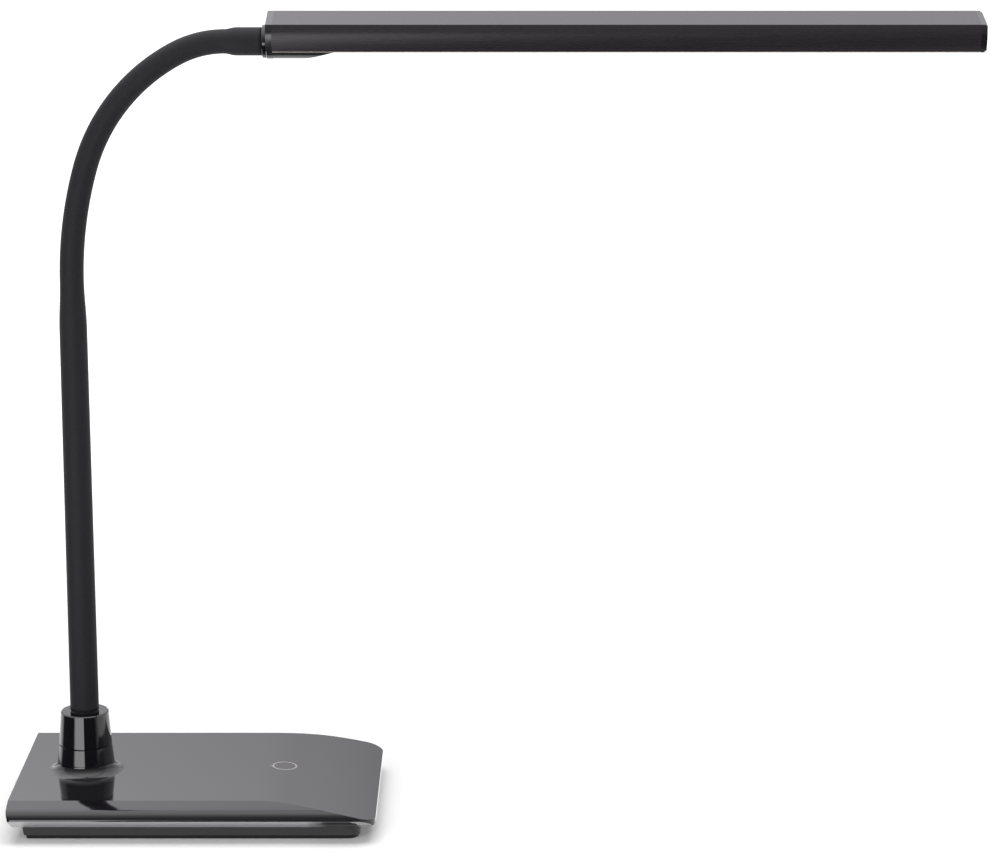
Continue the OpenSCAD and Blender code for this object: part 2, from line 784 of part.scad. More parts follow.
// Bent piece of the lead; a hair thinner, and lapped into the pieces at both of its ends
module lead_bend(r, angle) {
  lap = lead_lap / r * 180 / PI;
  rotate([0, 0, -lap]) rotate_extrude(angle = angle + 2 * lap)
    translate([r, 0]) circle(lead_r - lead_step);
}

// LED lead: from the board under the boss, up through the whole neck and to the LED board
module led_lead() {
  elbow_r = ferrule_low - lead_z;
  start_x = board_pos.x - board_size.x / 2;
  color("black") {
    translate([neck_x + elbow_r, 0, lead_z])
      rotate([0, 90, 0]) cylinder(r = lead_r, h = start_x - neck_x - elbow_r);
    translate([neck_x + elbow_r, 0, lead_z + elbow_r])
      rotate([-90, 0, 0]) rotate([0, 0, 90]) lead_bend(elbow_r, 90);
    translate([neck_x, 0, lead_z + elbow_r]) cylinder(r = lead_r, h = bend_start_h - lead_z - elbow_r);
    for (b = [0, 2]) at_pivot(bend_first[b])
      translate([bends[b][0], 0, 0]) rotate([90, 0, 180]) lead_bend(bends[b][0], bends[b][1]);
    at_pivot(bend_first[1]) along_bend(bends[1][0], 0, bends[1][1]) circle(lead_r);
    at_pivot(last_link) cylinder(r = lead_r, h = neck_end_len + lead_rise_x);
    head_frame() translate([lead_rise_x, 0, lead_bend_r]) {
      rotate([90, 0, 0]) rotate([0, 0, -90]) lead_bend(lead_bend_r, 90);
      translate([lead_bend_r, 0, 0]) cylinder(r = lead_r, h = web_low - led_board_t - lead_bend_r);
    }
  }
}

// ---------- roll joint ----------

module top_ferrule() {
  color(steel) at_pivot(last_link + 1) rotate_extrude() polygon([
    [lead_bore_r, -top_ferrule_back], [core_r, -top_ferrule_back], [core_r, 0],
    [journal_r, 0], [journal_r, journal_len], [lead_bore_r, journal_len]
  ]);
}

module end_ring() {
  edge = 0.3;
  color(gloss_black) at_pivot(last_link + 1) rotate_extrude() polygon([
    [journal_r + running_gap, 0], [ring_r - edge, 0], [ring_r, edge],
    [ring_r, ring_t - edge], [ring_r - edge, ring_t], [journal_r + running_gap, ring_t]
  ]);
}

module friction_washer() {
  color([0.75, 0.6, 0.3]) at_pivot(last_link + 1) translate([0, 0, hub_end_x + running_gap])
    difference() {
      cylinder(r = ring_nut_r, h = wash_t - running_gap);
      translate([0, 0, -cut]) cylinder(r = journal_r + running_gap, h = wash_t + 2 * cut);
    }
}

module ring_nut() {
  slot_w = 1.2;
  color(steel) at_pivot(last_link + 1) translate([0, 0, hub_end_x + wash_t]) difference() {
    cylinder(r = ring_nut_r, h = ring_nut_t);
    translate([0, 0, -cut]) cylinder(r = journal_r + running_gap, h = ring_nut_t + 2 * cut);
    translate([-ring_nut_r, -slot_w / 2, ring_nut_t - 0.8]) cube([2 * ring_nut_r, slot_w, cut]);
  }
}

// ---------- head ----------

// The bar's own frame: X along the neck's end, Z up through the bar, turned by the rest roll
module head_frame() {
  at_pivot(last_link + 1) rotate([0, 0, bar_roll]) rotate([0, -90, 0]) children();
}

module along_bar(from, to) {
  translate([from, 0, 0]) rotate([90, 0, 90]) linear_extrude(to - from) children();
}

// Outline of the bar, t inside its outer surface, between two heights
module bar_outline(t, low, high) {
  intersection() {
    translate([-side_centre_y, bar_wide_h]) circle(bar_side_r - t);
    translate([side_centre_y, bar_wide_h]) circle(bar_side_r - t);
    translate([-bar_half_w, low]) square([2 * bar_half_w, high - low]);
  }
}

module profile_section() {
  difference() {
    bar_outline(0, -bar_low, bar_top);
    bar_outline(bar_wall, -bar_low - cut, web_low);
  }
  for (side = [0, 1]) mirror([side, 0]) {
    difference() {
      intersection() {
        bar_outline(bar_wall / 2, -bar_low, bar_top);
        union() {
          translate([ledge_y, web_low - led_board_t - ledge_t]) square([bar_half_w, ledge_t]);
          translate([rib_y, rib_z[0]]) square([bar_half_w, rib_z[1] - rib_z[0]]);
          translate(port_pos) circle(port_r);
        }
      }
      translate(port_pos) circle(port_bore_r);
    }
  }
}

module head_profile() {
  color(anodised) head_frame() along_bar(bar_x, bar_end_x) profile_section();
}

module cap_screw_holes(face_x, dir) {
  for (side = [-1, 1]) translate([face_x, side * port_pos.x, port_pos.y]) rotate([0, 90 * dir, 0]) {
    translate([0, 0, -cut]) cylinder(r = port_bore_r + 0.2, h = carrier_t + cap_t + cut);
    translate([0, 0, -cut]) cylinder(r = cap_screw_head_r + 0.2, h = cap_screw_head_t + 0.1 + cut);
  }
}

module cap_screw_pair(face_x, dir) {
  color(steel) head_frame() for (side = [-1, 1])
    translate([face_x, side * port_pos.x, port_pos.y]) rotate([0, 90 * dir, 0]) {
      translate([0, 0, 0.1]) cylinder(r = cap_screw_head_r, h = cap_screw_head_t);
      translate([0, 0, 0.1]) cylinder(r = port_bore_r - running_gap, h = cap_screw_len);
    }
}

module carrier_plug(from, to) {
  translate([from, -plug_half_w, plug_z[0]]) cube([to - from, 2 * plug_half_w, plug_z[1] - plug_z[0]]);
}

// Half-round bar under the profile, tapered away towards its end
module bracket() {
  start_x = bar_x - carrier_t / 2;
  end_x = bracket_flat + bracket_taper;
  slope = (bracket_r + diffuser_low) / bracket_taper;
  difference() {
    translate([start_x, 0, 0]) rotate([0, 90, 0]) cylinder(r = bracket_r, h = end_x + cut - start_x);
    translate([0, -2 * bracket_r, diffuser_low]) cube([bar_len, 4 * bracket_r, 4 * bracket_r]);
    rotate([90, 0, 0]) linear_extrude(4 * bracket_r, center = true) polygon([
      [bracket_flat - cut, -bracket_r - cut * slope], [end_x + 2 * cut, diffuser_low + 2 * cut * slope],
      [end_x + 2 * cut, -bracket_r - cut * slope]
    ]);
  }
}

module head_carrier() {
  color(satin_black) head_frame() difference() {
    union() {
      along_bar(carrier_x, bar_x) {
        bar_outline(0, -bar_low, bar_top);
        circle(bracket_r + lobe_step);
      }
      translate([carrier_x, 0, 0]) rotate([0, 90, 0]) cylinder(r = hub_r, h = hub_end_x - carrier_x);
      carrier_plug(bar_x - cut, hub_end_x);
      bracket();
    }
    rotate([0, 90, 0]) cylinder(r = journal_r + running_gap, h = hub_end_x + cut);
    translate([hub_end_x, 0, 0])
      rotate([0, 90, 0]) cylinder(r = pocket_r, h = pocket_end_x - hub_end_x);
    rotate([0, 90, 0]) cylinder(r = groove_r, h = notch_x);
    cap_screw_holes(carrier_x, 1);
  }
}

module carrier_screws() {
  cap_screw_pair(carrier_x, 1);
}

module right_cap() {
  outer_x = bar_end_x + cap_t + cap_crown;
  low = -bar_low - diffuser_proud / 2;
  color(satin_black) head_frame() difference() {
    union() {
      along_bar(bar_end_x, outer_x - cap_crown) bar_outline(0, low, bar_top);
      along_bar(bar_end_x, outer_x) bar_outline(crown_inset, low + crown_inset, bar_top - crown_inset);
      carrier_plug(bar_end_x - plug_len, bar_end_x + cut);
    }
    cap_screw_holes(outer_x - 0.3, -1);
  }
}

module right_cap_screws() {
  cap_screw_pair(bar_end_x + cap_t + cap_crown - 0.3, -1);
}

module led_board() {
  color([0.9, 0.9, 0.88]) head_frame()
    translate([led_board_x, -led_board_half_w, web_low - led_board_t])
      cube([bar_end_x - led_board_x - 3, 2 * led_board_half_w, led_board_t]);
}

module leds() {
  color([1, 0.9, 0.5]) head_frame() for (i = [0 : led_count])
    translate([led_start_x + i * led_pitch, -led_size.y / 2, web_low - led_board_t - led_size.z])
      cube(led_size);
}

// Channel-shaped cover whose hooks sit over the ribs of the profile
module diffuser_section() {
  leg_t = 0.8;
  hook = 0.5;
  leg_y = rib_y - running_gap;
  translate([-diffuser_half_w, diffuser_low]) square([2 * diffuser_half_w, rib_z[0] - diffuser_low]);
  for (side = [0, 1]) mirror([side, 0]) {
    translate([leg_y - leg_t, diffuser_low]) square([leg_t, rib_z[1] + running_gap + hook - diffuser_low]);
    translate([leg_y - leg_t, rib_z[1] + running_gap]) square([leg_t + hook, hook]);
  }
}

module diffuser() {
  color(milky) head_frame() difference() {
    along_bar(bar_x, bar_end_x) diffuser_section();
    translate([0, -notch_half_w, -bracket_r]) cube([notch_x, 2 * notch_half_w, bar_top]);
  }
}

base_shell();
base_tray();
non_slip_pad();
ballast_plate();
cover_screws();
control_board();
driver_parts();
board_screws();
touch_electrode();
inlet_jack();
inlet_lead();
neck_collar();
root_ferrule();
root_washer();
root_nut();
core_00();
core_link(1);  // core_01
core_link(2);  // core_02
core_link(3);  // core_03
core_link(4);  // core_04
core_link(5);  // core_05
core_link(6);  // core_06
core_link(7);  // core_07
core_link(8);  // core_08
core_link(9);  // core_09
core_link(10);  // core_10
core_11();
sleeve_00();
lower_sleeve(1);  // sleeve_01
lower_sleeve(2);  // sleeve_02
lower_sleeve(3);  // sleeve_03
lower_sleeve(4);  // sleeve_04
bend_sleeve(5);  // sleeve_05
bend_sleeve(6);  // sleeve_06
bend_sleeve(7);  // sleeve_07
bend_sleeve(8);  // sleeve_08
bend_sleeve(9);  // sleeve_09
bend_sleeve(10);  // sleeve_10
sleeve_11();
led_lead();
top_ferrule();
end_ring();
friction_washer();
ring_nut();
head_carrier();
carrier_screws();
head_profile();
right_cap();
right_cap_screws();
led_board();
leds();
diffuser();
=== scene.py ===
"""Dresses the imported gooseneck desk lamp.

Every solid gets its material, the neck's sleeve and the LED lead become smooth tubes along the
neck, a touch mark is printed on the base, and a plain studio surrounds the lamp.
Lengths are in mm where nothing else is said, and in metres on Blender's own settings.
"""

import math

import bpy
from mathutils import Matrix, Vector

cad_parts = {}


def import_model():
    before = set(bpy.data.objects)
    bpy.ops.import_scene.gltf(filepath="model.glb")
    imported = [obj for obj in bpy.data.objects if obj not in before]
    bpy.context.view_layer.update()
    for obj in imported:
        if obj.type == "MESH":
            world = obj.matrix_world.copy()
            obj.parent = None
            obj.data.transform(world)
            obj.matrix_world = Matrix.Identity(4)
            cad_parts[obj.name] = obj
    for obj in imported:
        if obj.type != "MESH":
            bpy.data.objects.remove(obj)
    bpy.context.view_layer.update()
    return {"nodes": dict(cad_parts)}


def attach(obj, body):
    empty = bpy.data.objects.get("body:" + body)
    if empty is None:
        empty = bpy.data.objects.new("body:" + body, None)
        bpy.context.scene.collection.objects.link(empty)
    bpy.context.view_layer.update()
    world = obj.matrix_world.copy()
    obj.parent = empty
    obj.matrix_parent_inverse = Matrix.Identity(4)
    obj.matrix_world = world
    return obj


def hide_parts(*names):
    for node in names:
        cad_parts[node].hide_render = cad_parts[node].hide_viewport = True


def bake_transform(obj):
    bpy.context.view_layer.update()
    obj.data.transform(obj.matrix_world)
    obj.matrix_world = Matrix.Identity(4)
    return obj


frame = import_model()
nodes = frame["nodes"]
MM = 0.001

# The neck's path: X of its axis, heights up the straight part, and its bends as
# (radius, degrees, links), then the last straight piece up to the head
NECK_X = -57.6
SLEEVE_START, FIRST_PIVOT, BEND_START = 50.4, 80.0, 267.8
LOWER_LINKS = 4
BENDS = ((197.4, 16.5, 2), (91.3, 45.7, 3), (50.2, 27.8, 1))
END_LENGTH = 18.2

# The sleeve's radii from the foot up, its shoulder above the thick part, and its swollen end
LOW_R, HIGH_R, NECK_R, END_R = 7.15, 6.72, 5.85, 6.78
SHOULDER = 23.8
END_TAPER = 5.5
SLEEVE_BORE = 5.0
SLEEVE_SIDES, SLEEVE_STEP, LEAST_STEPS = 48, 1.6, 4

# The LED lead: from the board's edge under the deck, round an elbow and up the neck, then along
# the bar and up to the LED board
LEAD_R, LEAD_START_X, LEAD_Z, ELBOW_R = 1.6, 22.0, 10.5, 9.5
BAR_ROLL, LEAD_RISE_X, LEAD_BEND_R, LEAD_TOP = 13.3, 17.5, 4.6, 9.0
LEAD_SIDES, FOOT_STEP, BEND_STEP = 16, 8, 3
ELBOW_STEPS, RISE_STEPS = 12, 8
ELBOW_RUN_OUT, HEAD_GAP = 1, 0.05

# The touch mark: its centre, radius and line width, its tick, and how proud the ink stands; and
# the top of the base under it, flat up to the droop
TOUCH = (42.0, 5.0)
TOUCH_R, TOUCH_LINE = 5.85, 0.8
TICK_LENGTH, TICK_ROOT, TICK_TIP = 1.8, 0.4, 0.25
MARK_PROUD, MARK_SIDES = 0.02, 96
BASE_TOP, DROOP_X, DROOP_R = 18.8, 30.0, 240.64

# How the looks wander: the part of the noise's range that colour and roughness are spread over,
# and the finer noise that makes the bump
COLOUR_SPAN, ROUGH_SPAN = (0.3, 0.7), (0.25, 0.75)
NOISE_ROUGH, NOISE_DETAIL = 0.55, 3.0
FINE_SCALE, FINE_DETAIL = 3, 4.0

# The base's paler underside is a painted reflection: a lighter satin on faces that look down, out
# from FLANGE_Y, and up to the droop's shade. FACING is on the normal's Z, as a share from straight
# down to straight up, and the masks by place run over RAMP_SPAN from the base's middle
FLANGE_Y, FLANGE_EDGE = 51.5, 0.5
FLANGE_SHADE = (56, 66)
FLANGE_FACING = (0.28, 0.34)
FLANGE_REFLECTION_COLOUR, FLANGE_REFLECTION_ROUGH = (0.3, 0.295, 0.31, 1), (0.3, 0.3, 0.3, 1)
RAMP_SPAN = 100

PURPLE_BLACK = (0.0045, 0.0038, 0.0055)
# Painted shade on the diffuser's upright faces: its brown grey, and the span of the normal's Z over
# which it fades out
DIFFUSER_SHADE, DIFFUSER_SHADE_FACING = (0.36, 0.31, 0.28, 1), (0.6, 0.8)

# The camera: focal length in pixels of the picture, place and downward pitch in degrees
FOCAL_PX, PICTURE_WIDTH, SENSOR = 3200, 1000, 36
CAMERA_PLACE, CAMERA_PITCH = (150.8, -1535.0, 542.2), 12.8

# The floor: half its side in metres, and its height just under the pad; its lift to white, as
# (share of the half side, strength); and how bright it is in reflections: pale, dim and patch
FLOOR_REACH, FLOOR_Z = 6.0, -0.2
FLOOR_LIFT = ((0.03, 0.1), (0.17, 0.64), (0.45, 0.96))
FLOOR_GLOW, FLOOR_DIM, PATCH_GLOW = 1.5, 0.05, 5.0
FLOOR_GREY, FLOOR_DARK = (0.8, 0.8, 0.8, 1), (0.01, 0.01, 0.01, 1)

# Edges of the floor's pattern, each as (starts, full). Bearings are in degrees from straight in
# front of the neck: to the right in PATCH_LEFT and PALE_RIGHT, to the left in the other two. The
# rest are in metres: forwards in PATCH_FRONT, along Y in PALE_FRONT and along X in PALE_SIDE
PATCH_LEFT, PATCH_RIGHT, PATCH_FRONT = (-46, -34), (-2, 0), (0.1, 0.12)
PALE_RIGHT, PALE_LEFT = (48, 75), (100, 115)
PALE_FRONT, PALE_SIDE = (-0.08, -0.06), (-0.12, -0.1)

# The room in reflections, as (sine of the elevation, colour), behind the lamp and before it. The
# part behind is brighter to the left: ROOM_SCALE goes with the direction's X over ROOM_SIDE. The
# two parts meet where the direction's Y is in ROOM_TURN
BEHIND = (
    (0.3, (0.32, 0.314, 0.328)),
    (0.345, (0.455, 0.448, 0.466)),
    (0.71, (0.7, 0.69, 0.72)),
    (0.87, (0.98, 0.97, 1.0)),
)
BEFORE = ((0.0, 0.1), (0.34, 0.17), (0.64, 0.41), (0.87, 0.9), (1.0, 1.0))
ROOM_SIDE, ROOM_SCALE = (-0.16, -0.02), (1.2, 0.88)
ROOM_TURN = (-0.15, 0.15)
SKY, FILL = 2.9, 0.4

# Area lights in metres and watts: name, place, aim, size, power
LIGHTS = (
    ("overhead", (0.1, 0.1, 1.7), (0.1, 0, 0.1), (1.6, 1.2), 26),
    ("left_strip", (-0.75, -1.3, 0.7), (-0.05, 0, 0.15), (0.25, 1.4), 10),
    ("right_strip", (1.3, -0.7, 0.6), (-0.05, 0, 0.1), (0.3, 1.4), 2),
)


# ---------- shader helpers ----------


def material(name):
    """A new material, its node tree and its Principled shader."""
    mat = bpy.data.materials.new(name)
    mat.use_nodes = True
    tree = mat.node_tree
    return mat, tree, tree.nodes["Principled BSDF"]


def node(tree, kind, inputs=None, **settings):
    """A new shader node with its settings and its inputs' values."""
    made = tree.nodes.new(kind)
    for key, value in settings.items():
        setattr(made, key, value)
    for key, value in (inputs or {}).items():
        made.inputs[key].default_value = value
    return made


def axes(tree, source):
    """X, Y and Z outputs of a vector."""
    made = node(tree, "ShaderNodeSeparateXYZ")
    tree.links.new(source, made.inputs[0])
    return made.outputs


def shift(tree, source, gain, offset=0):
    """A value times gain, plus offset."""
    made = node(tree, "ShaderNodeMath", {1: gain, 2: offset}, operation="MULTIPLY_ADD")
    tree.links.new(source, made.inputs[0])
    return made.outputs[0]


def combine(tree, operation, *sources):
    """Several values joined by one operation, such as MULTIPLY or MAXIMUM."""
    out = sources[0]
    for other in sources[1:]:
        made = node(tree, "ShaderNodeMath", operation=operation)
        tree.links.new(out, made.inputs[0])
        tree.links.new(other, made.inputs[1])
        out = made.outputs[0]
    return out


def join(tree, low, high, fac):
    """Mix of two colours or sources by a factor; each may be a tuple or an output."""
    made = node(tree, "ShaderNodeMix", data_type="RGBA")
    for slot, value in ((6, low), (7, high)):
        if isinstance(value, tuple):
            made.inputs[slot].default_value = value
        else:
            tree.links.new(value, made.inputs[slot])
    tree.links.new(fac, made.inputs[0])
    return made.outputs[2]


def ramp(tree, source, stops):
    """A colour ramp on a value; stops are (position, colour or grey)."""
    made = node(tree, "ShaderNodeValToRGB")
    elements = made.color_ramp.elements
    while len(elements) < len(stops):
        elements.new(0.5)
    for element, (place, colour) in zip(elements, stops):
        element.position = place
        if not isinstance(colour, tuple):
            colour = (colour,) * 3
        element.color = (*colour, 1)
    tree.links.new(source, made.inputs["Fac"])
    return made.outputs["Color"]


def blend_steps(tree, source, low, high):
    """0 below low, 1 above high, and smooth between them."""
    made = node(
        tree,
        "ShaderNodeMapRange",
        {"From Min": low, "From Max": high},
        interpolation_type="SMOOTHSTEP",
    )
    tree.links.new(source, made.inputs["Value"])
    return made.outputs["Result"]


def noise(tree, scale, stretch, detail=NOISE_DETAIL):
    """Noise in object space, scale in features per metre, stretched along an axis by a factor."""
    place = node(tree, "ShaderNodeTexCoord")
    shrink = node(tree, "ShaderNodeMapping")
    shrink.inputs["Scale"].default_value = stretch
    settings = {"Scale": scale, "Detail": detail, "Roughness": NOISE_ROUGH}
    made = node(tree, "ShaderNodeTexNoise", settings)
    tree.links.new(place.outputs["Object"], shrink.inputs["Vector"])
    tree.links.new(shrink.outputs["Vector"], made.inputs["Vector"])
    return made.outputs["Fac"]


def bump(tree, shader, height, depth):
    """Bump of a real depth in metres."""
    made = node(tree, "ShaderNodeBump", {"Strength": 1.0, "Distance": depth})
    tree.links.new(height, made.inputs["Height"])
    tree.links.new(made.outputs["Normal"], shader.inputs["Normal"])


def surface(name, colour, rough, scale, spread=0.15, stretch=(1, 1, 1), bumpy=0.0, **sockets):
    """Principled surface whose colour and roughness wander a little with one noise.

    rough is (low, high), spread the colour's share either way, and bumpy a depth in metres.
    """
    mat, tree, shader = material(name)
    for key, value in sockets.items():
        shader.inputs[key.replace("_", " ")].default_value = value
    wander = noise(tree, scale, stretch)
    dark = tuple(c * (1 - spread) for c in colour)
    pale = tuple(min(c * (1 + spread), 1) for c in colour)
    shades = ramp(tree, wander, tuple(zip(COLOUR_SPAN, (dark, pale))))
    tree.links.new(shades, shader.inputs["Base Color"])
    tree.links.new(ramp(tree, wander, tuple(zip(ROUGH_SPAN, rough))), shader.inputs["Roughness"])
    if bumpy:
        bump(tree, shader, noise(tree, scale * FINE_SCALE, stretch, FINE_DETAIL), bumpy)
    return mat


def paint_over(tree, socket, value, mask):
    """Lays a constant over what already feeds the Principled shader's socket, where mask is 1."""
    target = tree.nodes["Principled BSDF"].inputs[socket]
    source = target.links[0].from_socket
    tree.links.new(join(tree, source, value, mask), target)


# ---------- looks ----------


def paint_flange_reflection(mat):
    """Painted reflection, a paler satin, under the base from nose to plinth, up to the droop's
    shade.
    """
    tree = mat.node_tree
    place = node(tree, "ShaderNodeNewGeometry")
    normal = axes(tree, place.outputs["Normal"])
    spot = axes(tree, place.outputs["Position"])
    facing = shift(tree, normal["Z"], 0.5, 0.5)
    forward = shift(tree, spot["Y"], -1 / (RAMP_SPAN * MM))
    sideways = shift(tree, spot["X"], 0.5 / (RAMP_SPAN * MM), 0.5)
    edge = [y / RAMP_SPAN for y in (FLANGE_Y - FLANGE_EDGE, FLANGE_Y)]
    shade = [0.5 + 0.5 * x / RAMP_SPAN for x in FLANGE_SHADE]
    mask = combine(
        tree,
        "MULTIPLY",
        ramp(tree, facing, tuple(zip(FLANGE_FACING, (1.0, 0.0)))),
        ramp(tree, forward, tuple(zip(edge, (0.0, 1.0)))),
        ramp(tree, sideways, tuple(zip(shade, (1.0, 0.0)))),
    )
    # The mask holds the painted reflection; its paler colour and roughness go over the black
    paint_over(tree, "Base Color", FLANGE_REFLECTION_COLOUR, mask)
    paint_over(tree, "Roughness", FLANGE_REFLECTION_ROUGH, mask)
    return mat


def paint_diffuser_shade(mat):
    """Paints shade on the diffuser's upright faces, a smoky brown, where its edge shows under the
    bar.
    """
    tree = mat.node_tree
    place = node(tree, "ShaderNodeTexCoord")
    flat = node(tree, "ShaderNodeMath", operation="ABSOLUTE")
    tree.links.new(axes(tree, place.outputs["Normal"])["Z"], flat.inputs[0])
    edge = ramp(tree, flat.outputs[0], tuple(zip(DIFFUSER_SHADE_FACING, (1.0, 0.0))))
    paint_over(tree, "Base Color", DIFFUSER_SHADE, edge)
    return mat


# The shell and the tray both carry the painted reflection on their underside
shell_black = paint_flange_reflection(
    surface("shell_black", PURPLE_BLACK, (0.05, 0.085), scale=30, spread=0.1, IOR=1.5)
)
tray_black = paint_flange_reflection(
    surface(
        "tray_black", (0.009, 0.0085, 0.0095), (0.3, 0.4),
        scale=900, spread=0.12, bumpy=4e-6, IOR=1.4,
    )
)
collar_black = surface(
    "collar_black", (0.004, 0.004, 0.005), (0.03, 0.06), scale=60, spread=0.1, IOR=1.5
)
cap_black = surface(
    "cap_black", (0.01, 0.0095, 0.011), (0.12, 0.18), scale=300, spread=0.1, IOR=1.5
)
satin_black = surface(
    "satin_black", (0.02, 0.019, 0.021), (0.32, 0.42),
    scale=900, spread=0.12, bumpy=4e-6, IOR=1.4,
)
rubber = surface(
    "rubber", (0.0195, 0.0192, 0.0215), (0.55, 0.65),
    scale=1400, spread=0.14, bumpy=1.5e-5, IOR=1.3, Specular_IOR_Level=0.25,
)
pad_rubber = surface(
    "pad_rubber", (0.006, 0.006, 0.0065), (0.6, 0.7),
    scale=1400, spread=0.14, bumpy=1.5e-5, IOR=1.3,
)
anodised = surface(
    "anodised", (0.02, 0.0165, 0.0205), (0.26, 0.29),
    scale=1500, spread=0.06, stretch=(0.02, 1, 1), bumpy=3e-7, IOR=1.4,
)
steel = surface(
    "steel", (0.5, 0.5, 0.52), (0.28, 0.4),
    scale=900, spread=0.1, stretch=(1, 1, 0.1), Metallic=1.0,
)
bronze = surface("bronze", (0.66, 0.45, 0.22), (0.3, 0.4), scale=900, spread=0.1, Metallic=1.0)
board_green = surface("board_green", (0.03, 0.2, 0.09), (0.3, 0.4), scale=400, spread=0.2)
board_white = surface("board_white", (0.78, 0.78, 0.76), (0.35, 0.45), scale=400, spread=0.05)
black_part = surface("black_part", (0.03, 0.03, 0.032), (0.4, 0.5), scale=800)
foam = surface("foam", (0.09, 0.09, 0.095), (0.8, 0.9), scale=1500, spread=0.3, bumpy=5e-5)
phosphor = surface("phosphor", (0.9, 0.72, 0.25), (0.35, 0.45), scale=1500, spread=0.05)
silver_ink = surface(
    "silver_ink", (0.3, 0.29, 0.31), (0.3, 0.4), scale=1500, spread=0.08, Metallic=0.3
)
# The diffuser's milky plastic, with painted shade on its upright faces
milky = paint_diffuser_shade(
    surface("milky", (0.74, 0.74, 0.71), (0.35, 0.42), scale=500, spread=0.03, IOR=1.45)
)

NODE_LOOKS = {
    shell_black: ("base_shell",),
    tray_black: ("base_tray",),
    collar_black: ("neck_collar", "end_ring"),
    cap_black: ("head_carrier", "right_cap"),
    satin_black: ("root_ferrule",),
    rubber: ("led_lead", "inlet_lead", *(name for name in nodes if name.startswith("sleeve_"))),
    pad_rubber: ("non_slip_pad",),
    anodised: ("head_profile",),
    steel: (
        "ballast_plate", "cover_screws", "board_screws", "root_washer", "root_nut",
        "top_ferrule", "ring_nut", "carrier_screws", "right_cap_screws",
        *(name for name in nodes if name.startswith("core_")),
    ),
    bronze: ("friction_washer",),
    board_green: ("control_board",),
    board_white: ("led_board",),
    black_part: ("driver_parts", "inlet_jack"),
    foam: ("touch_electrode",),
    phosphor: ("leds",),
    milky: ("diffuser",),
}
for look, names in NODE_LOOKS.items():
    for name in names:
        nodes[name].data.materials.clear()
        nodes[name].data.materials.append(look)


# ---------- mesh helpers ----------


def mesh_piece(name, points, faces, look, body=None, smooth=True):
    """A mesh object from points in mm, which rides on a body if one is given."""
    mesh = bpy.data.meshes.new(name)
    mesh.from_pydata([tuple(c * MM for c in p) for p in points], [], faces)
    mesh.update()
    if smooth:
        mesh.polygons.foreach_set("use_smooth", [True] * len(mesh.polygons))
    mesh.materials.append(look)
    made = bpy.data.objects.new(name, mesh)
    bpy.context.scene.collection.objects.link(made)
    if body:
        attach(made, body)
    return made


def rings_to_faces(rings, count):
    """Faces between rings of count points each, in the points' order."""
    return [
        (
            i * count + j,
            i * count + (j + 1) % count,
            (i + 1) * count + (j + 1) % count,
            (i + 1) * count + j,
        )
        for i in range(rings - 1)
        for j in range(count)
    ]


def sweep(name, stations, count=SLEEVE_SIDES, body=None):
    """Rubber tube through stations of (centre, turn of the axis from upright, radius).

    The stations all lie in the plane of the neck.
    """
    points = []
    back = Vector((0, 1, 0))
    for centre, turned, radius in stations:
        across = Vector((math.cos(turned), 0, -math.sin(turned)))
        for j in range(count):
            a = 2 * math.pi * j / count
            points.append(centre + radius * (math.cos(a) * across + math.sin(a) * back))
    return mesh_piece(name, points, rings_to_faces(len(stations), count), rubber, body)


# ---------- neck ----------

LOWER = (BEND_START - FIRST_PIVOT) / LOWER_LINKS
lengths = [FIRST_PIVOT - SLEEVE_START] + [LOWER] * LOWER_LINKS
for radius, angle, count in BENDS:
    lengths += [radius * math.radians(angle) / count] * count
lengths.append(END_LENGTH)
starts = [sum(lengths[:k]) for k in range(len(lengths) + 1)]
middles = [(starts[k] + starts[k + 1]) / 2 for k in range(len(lengths))]
bodies = ["base"] + [f"neck_{k:02d}" for k in range(1, len(lengths))]
STRAIGHT = BEND_START - SLEEVE_START
TOTAL = starts[-1]


def on_path(s):
    """Point and turn from upright of the neck's axis, at a distance s from the sleeve's start."""
    x, z, turned = NECK_X, SLEEVE_START, 0.0
    step = min(s, STRAIGHT)
    z += step
    s -= step
    for radius, angle, _ in BENDS:
        part = min(max(s, 0.0) / radius, math.radians(angle))
        x += radius * (math.cos(turned) - math.cos(turned + part))
        z += radius * (math.sin(turned + part) - math.sin(turned))
        turned += part
        s -= radius * part
    s = max(s, 0.0)
    return Vector((x + s * math.sin(turned), 0, z + s * math.cos(turned))), turned


def sleeve_radius(s):
    """Outside radius: the thick lower part, its soft shoulder, the slim jacket, the swollen end."""
    shoulder = STRAIGHT - SHOULDER
    if s <= shoulder:
        return LOW_R + (HIGH_R - LOW_R) * s / shoulder
    if s < STRAIGHT:
        fall = (1 + math.cos(math.pi * (s - shoulder) / SHOULDER)) / 2
        return NECK_R + (HIGH_R - NECK_R) * fall
    rise = min(max((s - (TOTAL - END_LENGTH)) / END_TAPER, 0), 1)
    return NECK_R + (END_R - NECK_R) * rise * rise * (3 - 2 * rise)


def distances(low, high, step):
    """Evenly spaced distances from low to high, about a step apart."""
    count = max(int((high - low) / step), LEAST_STEPS)
    return [low + (high - low) * i / count for i in range(count + 1)]


def sleeve_stations(low, high, open_start=False, open_end=False):
    """The sleeve's stations from s = low to high; an open end turns in to the sleeve's bore."""
    stations = [(*on_path(s), sleeve_radius(s)) for s in distances(low, high, SLEEVE_STEP)]
    if open_start:
        stations.insert(0, (*on_path(low), SLEEVE_BORE))
    if open_end:
        stations.append((*on_path(high), SLEEVE_BORE))
    return stations


def lead_stations(low, high, step=SLEEVE_STEP):
    """The LED lead's stations on the neck's axis from s = low to high."""
    return [(*on_path(s), LEAD_R) for s in distances(low, high, step)]


